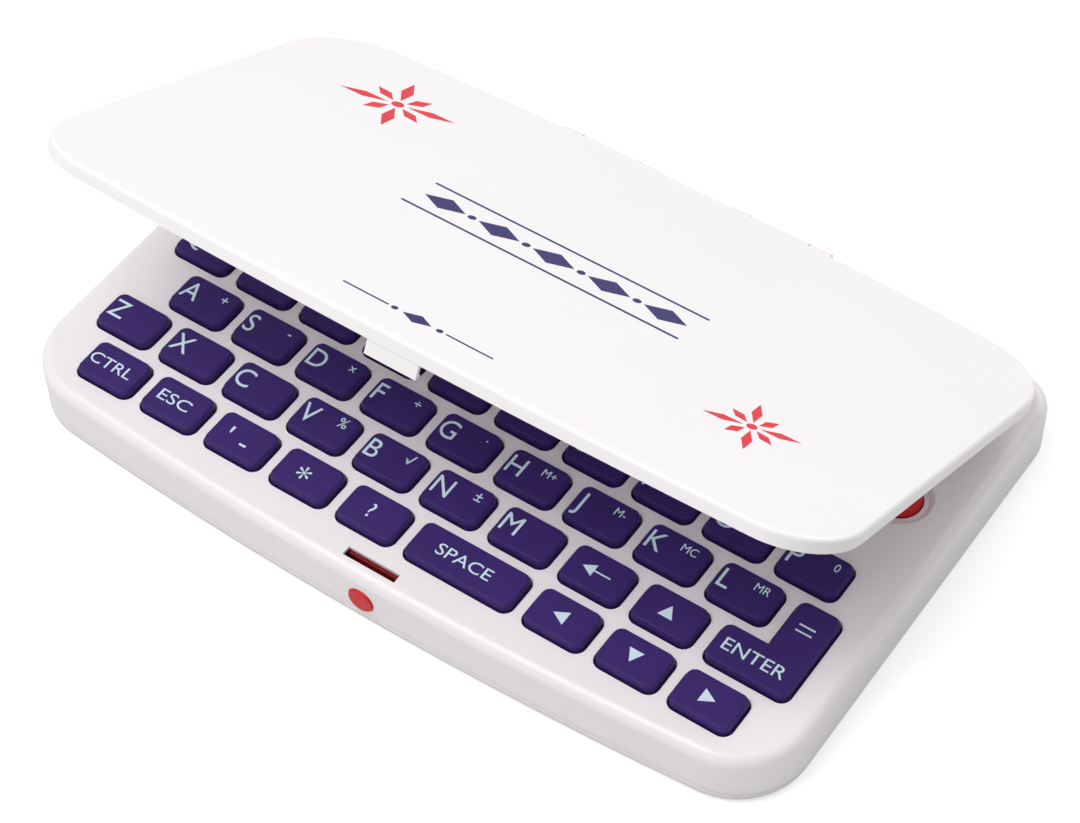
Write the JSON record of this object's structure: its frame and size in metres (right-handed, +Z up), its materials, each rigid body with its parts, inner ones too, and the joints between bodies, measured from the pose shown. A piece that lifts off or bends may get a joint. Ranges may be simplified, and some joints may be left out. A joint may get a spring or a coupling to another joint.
{
  "type": "electronic dictionary",
  "caption": "Pocket electronic dictionary: flat white bow-fronted casing with indigo letter keys, a display and a thin hinged lid held by a push-button latch.",
  "frame": {"origin": "middle of the lower casing's flat underside, which the rubber feet lift 0.5 mm off a table", "axes": "+X to the right along the key rows, +Y back to the hinge, +Z up through the keys"},
  "size_m": [0.128, 0.0863, 0.0484],
  "materials": {
    "casing_white": "moulded ABS, satin gloss",
    "lid_white": "moulded ABS, gloss",
    "key_indigo": "moulded indigo keycaps with pale print",
    "button_red": "moulded red plastic",
    "window_clear": "clear acrylic pane with a dark printed border",
    "lcd_glass": "display glass, grey-green",
    "rubber_grey": "silicone rubber",
    "rubber_dark": "soft rubber",
    "board_green": "glass-fibre board, solder mask",
    "chip_black": "epoxy blob",
    "cell_steel": "nickel-plated steel",
    "contact_brass": "spring brass strip",
    "screw_steel": "zinc-plated steel"
  },
  "bodies": {
    "base": {"top_casing": "casing_white", "bottom_casing": "casing_white", "battery_door": "casing_white", "display_window": "window_clear", "lcd_panel": "lcd_glass", "lcd_connector": "rubber_grey", "keypad_mat": "rubber_grey", "rubber_feet": "rubber_dark", "circuit_board": "board_green", "controller_chip": "chip_black", "batteries": "cell_steel", "battery_contacts": "contact_brass", "hinge_pins": "screw_steel", "casing_screws": "screw_steel", "battery_door_screw": "screw_steel", "latch_spring": "screw_steel"},
    "lid": {"lid_cover": "lid_white"},
    "latch": {"latch_button": "button_red"},
    "on_key": {"on_button": "button_red"},
    "ctrl_key": {"key_ctrl": "key_indigo"},
    "esc_key": {"key_esc": "key_indigo"},
    "dash_key": {"key_dash": "key_indigo"},
    "star_key": {"key_star": "key_indigo"},
    "question_key": {"key_question": "key_indigo"},
    "z_key": {"key_z": "key_indigo"},
    "x_key": {"key_x": "key_indigo"},
    "c_key": {"key_c": "key_indigo"},
    "v_key": {"key_v": "key_indigo"},
    "b_key": {"key_b": "key_indigo"},
    "n_key": {"key_n": "key_indigo"},
    "m_key": {"key_m": "key_indigo"},
    "backspace_key": {"key_backspace": "key_indigo"},
    "up_key": {"key_up": "key_indigo"},
    "a_key": {"key_a": "key_indigo"},
    "s_key": {"key_s": "key_indigo"},
    "d_key": {"key_d": "key_indigo"},
    "f_key": {"key_f": "key_indigo"},
    "g_key": {"key_g": "key_indigo"},
    "h_key": {"key_h": "key_indigo"},
    "j_key": {"key_j": "key_indigo"},
    "k_key": {"key_k": "key_indigo"},
    "l_key": {"key_l": "key_indigo"},
    "q_key": {"key_q": "key_indigo"},
    "w_key": {"key_w": "key_indigo"},
    "e_key": {"key_e": "key_indigo"},
    "r_key": {"key_r": "key_indigo"},
    "t_key": {"key_t": "key_indigo"},
    "y_key": {"key_y": "key_indigo"},
    "u_key": {"key_u": "key_indigo"},
    "i_key": {"key_i": "key_indigo"},
    "o_key": {"key_o": "key_indigo"},
    "p_key": {"key_p": "key_indigo"},
    "left_key": {"key_left": "key_indigo"},
    "down_key": {"key_down": "key_indigo"},
    "right_key": {"key_right": "key_indigo"},
    "space_key": {"key_space": "key_indigo"},
    "enter_key": {"key_enter": "key_indigo"}
  },
  "joints": [
    {"name": "lid_hinge", "type": "hinge", "parent": "base", "child": "lid", "pos_m": [0, 0.0422, 0.0094], "axis": [-1, 0, 0], "range_deg": [-26.4, 128.6]},
    {"name": "latch_slide", "type": "slide", "parent": "base", "child": "latch", "axis": [0, 1, 0], "range_m": [0, 0.0006], "stiffness_N_per_m": 300, "deforming": ["latch_spring"]},
    {"name": "on_press", "type": "slide", "parent": "base", "child": "on_key", "axis": [0, 0, -1], "range_m": [0, 0.0008], "stiffness_N_per_m": 400, "deforming": ["keypad_mat"]},
    {"name": "ctrl_press", "type": "slide", "parent": "base", "child": "ctrl_key", "axis": [0, 0, -1], "range_m": [0, 0.0008], "stiffness_N_per_m": 400, "deforming": ["keypad_mat"]},
    {"name": "esc_press", "type": "slide", "parent": "base", "child": "esc_key", "axis": [0, 0, -1], "range_m": [0, 0.0008], "stiffness_N_per_m": 400, "deforming": ["keypad_mat"]},
    {"name": "dash_press", "type": "slide", "parent": "base", "child": "dash_key", "axis": [0, 0, -1], "range_m": [0, 0.0008], "stiffness_N_per_m": 400, "deforming": ["keypad_mat"]},
    {"name": "star_press", "type": "slide", "parent": "base", "child": "star_key", "axis": [0, 0, -1], "range_m": [0, 0.0008], "stiffness_N_per_m": 400, "deforming": ["keypad_mat"]},
    {"name": "question_press", "type": "slide", "parent": "base", "child": "question_key", "axis": [0, 0, -1], "range_m": [0, 0.0008], "stiffness_N_per_m": 400, "deforming": ["keypad_mat"]},
    {"name": "z_press", "type": "slide", "parent": "base", "child": "z_key", "axis": [0, 0, -1], "range_m": [0, 0.0008], "stiffness_N_per_m": 400, "deforming": ["keypad_mat"]},
    {"name": "x_press", "type": "slide", "parent": "base", "child": "x_key", "axis": [0, 0, -1], "range_m": [0, 0.0008], "stiffness_N_per_m": 400, "deforming": ["keypad_mat"]},
    {"name": "c_press", "type": "slide", "parent": "base", "child": "c_key", "axis": [0, 0, -1], "range_m": [0, 0.0008], "stiffness_N_per_m": 400, "deforming": ["keypad_mat"]},
    {"name": "v_press", "type": "slide", "parent": "base", "child": "v_key", "axis": [0, 0, -1], "range_m": [0, 0.0008], "stiffness_N_per_m": 400, "deforming": ["keypad_mat"]},
    {"name": "b_press", "type": "slide", "parent": "base", "child": "b_key", "axis": [0, 0, -1], "range_m": [0, 0.0008], "stiffness_N_per_m": 400, "deforming": ["keypad_mat"]},
    {"name": "n_press", "type": "slide", "parent": "base", "child": "n_key", "axis": [0, 0, -1], "range_m": [0, 0.0008], "stiffness_N_per_m": 400, "deforming": ["keypad_mat"]},
    {"name": "m_press", "type": "slide", "parent": "base", "child": "m_key", "axis": [0, 0, -1], "range_m": [0, 0.0008], "stiffness_N_per_m": 400, "deforming": ["keypad_mat"]},
    {"name": "backspace_press", "type": "slide", "parent": "base", "child": "backspace_key", "axis": [0, 0, -1], "range_m": [0, 0.0008], "stiffness_N_per_m": 400, "deforming": ["keypad_mat"]},
    {"name": "up_press", "type": "slide", "parent": "base", "child": "up_key", "axis": [0, 0, -1], "range_m": [0, 0.0008], "stiffness_N_per_m": 400, "deforming": ["keypad_mat"]},
    {"name": "a_press", "type": "slide", "parent": "base", "child": "a_key", "axis": [0, 0, -1], "range_m": [0, 0.0008], "stiffness_N_per_m": 400, "deforming": ["keypad_mat"]},
    {"name": "s_press", "type": "slide", "parent": "base", "child": "s_key", "axis": [0, 0, -1], "range_m": [0, 0.0008], "stiffness_N_per_m": 400, "deforming": ["keypad_mat"]},
    {"name": "d_press", "type": "slide", "parent": "base", "child": "d_key", "axis": [0, 0, -1], "range_m": [0, 0.0008], "stiffness_N_per_m": 400, "deforming": ["keypad_mat"]},
    {"name": "f_press", "type": "slide", "parent": "base", "child": "f_key", "axis": [0, 0, -1], "range_m": [0, 0.0008], "stiffness_N_per_m": 400, "deforming": ["keypad_mat"]},
    {"name": "g_press", "type": "slide", "parent": "base", "child": "g_key", "axis": [0, 0, -1], "range_m": [0, 0.0008], "stiffness_N_per_m": 400, "deforming": ["keypad_mat"]},
    {"name": "h_press", "type": "slide", "parent": "base", "child": "h_key", "axis": [0, 0, -1], "range_m": [0, 0.0008], "stiffness_N_per_m": 400, "deforming": ["keypad_mat"]},
    {"name": "j_press", "type": "slide", "parent": "base", "child": "j_key", "axis": [0, 0, -1], "range_m": [0, 0.0008], "stiffness_N_per_m": 400, "deforming": ["keypad_mat"]},
    {"name": "k_press", "type": "slide", "parent": "base", "child": "k_key", "axis": [0, 0, -1], "range_m": [0, 0.0008], "stiffness_N_per_m": 400, "deforming": ["keypad_mat"]},
    {"name": "l_press", "type": "slide", "parent": "base", "child": "l_key", "axis": [0, 0, -1], "range_m": [0, 0.0008], "stiffness_N_per_m": 400, "deforming": ["keypad_mat"]},
    {"name": "q_press", "type": "slide", "parent": "base", "child": "q_key", "axis": [0, 0, -1], "range_m": [0, 0.0008], "stiffness_N_per_m": 400, "deforming": ["keypad_mat"]},
    {"name": "w_press", "type": "slide", "parent": "base", "child": "w_key", "axis": [0, 0, -1], "range_m": [0, 0.0008], "stiffness_N_per_m": 400, "deforming": ["keypad_mat"]},
    {"name": "e_press", "type": "slide", "parent": "base", "child": "e_key", "axis": [0, 0, -1], "range_m": [0, 0.0008], "stiffness_N_per_m": 400, "deforming": ["keypad_mat"]},
    {"name": "r_press", "type": "slide", "parent": "base", "child": "r_key", "axis": [0, 0, -1], "range_m": [0, 0.0008], "stiffness_N_per_m": 400, "deforming": ["keypad_mat"]},
    {"name": "t_press", "type": "slide", "parent": "base", "child": "t_key", "axis": [0, 0, -1], "range_m": [0, 0.0008], "stiffness_N_per_m": 400, "deforming": ["keypad_mat"]},
    {"name": "y_press", "type": "slide", "parent": "base", "child": "y_key", "axis": [0, 0, -1], "range_m": [0, 0.0008], "stiffness_N_per_m": 400, "deforming": ["keypad_mat"]},
    {"name": "u_press", "type": "slide", "parent": "base", "child": "u_key", "axis": [0, 0, -1], "range_m": [0, 0.0008], "stiffness_N_per_m": 400, "deforming": ["keypad_mat"]},
    {"name": "i_press", "type": "slide", "parent": "base", "child": "i_key", "axis": [0, 0, -1], "range_m": [0, 0.0008], "stiffness_N_per_m": 400, "deforming": ["keypad_mat"]},
    {"name": "o_press", "type": "slide", "parent": "base", "child": "o_key", "axis": [0, 0, -1], "range_m": [0, 0.0008], "stiffness_N_per_m": 400, "deforming": ["keypad_mat"]},
    {"name": "p_press", "type": "slide", "parent": "base", "child": "p_key", "axis": [0, 0, -1], "range_m": [0, 0.0008], "stiffness_N_per_m": 400, "deforming": ["keypad_mat"]},
    {"name": "left_press", "type": "slide", "parent": "base", "child": "left_key", "axis": [0, 0, -1], "range_m": [0, 0.0008], "stiffness_N_per_m": 400, "deforming": ["keypad_mat"]},
    {"name": "down_press", "type": "slide", "parent": "base", "child": "down_key", "axis": [0, 0, -1], "range_m": [0, 0.0008], "stiffness_N_per_m": 400, "deforming": ["keypad_mat"]},
    {"name": "right_press", "type": "slide", "parent": "base", "child": "right_key", "axis": [0, 0, -1], "range_m": [0, 0.0008], "stiffness_N_per_m": 400, "deforming": ["keypad_mat"]},
    {"name": "space_press", "type": "slide", "parent": "base", "child": "space_key", "axis": [0, 0, -1], "range_m": [0, 0.0008], "stiffness_N_per_m": 400, "deforming": ["keypad_mat"]},
    {"name": "enter_press", "type": "slide", "parent": "base", "child": "enter_key", "axis": [0, 0, -1], "range_m": [0, 0.0008], "stiffness_N_per_m": 400, "deforming": ["keypad_mat"]}
  ]
}
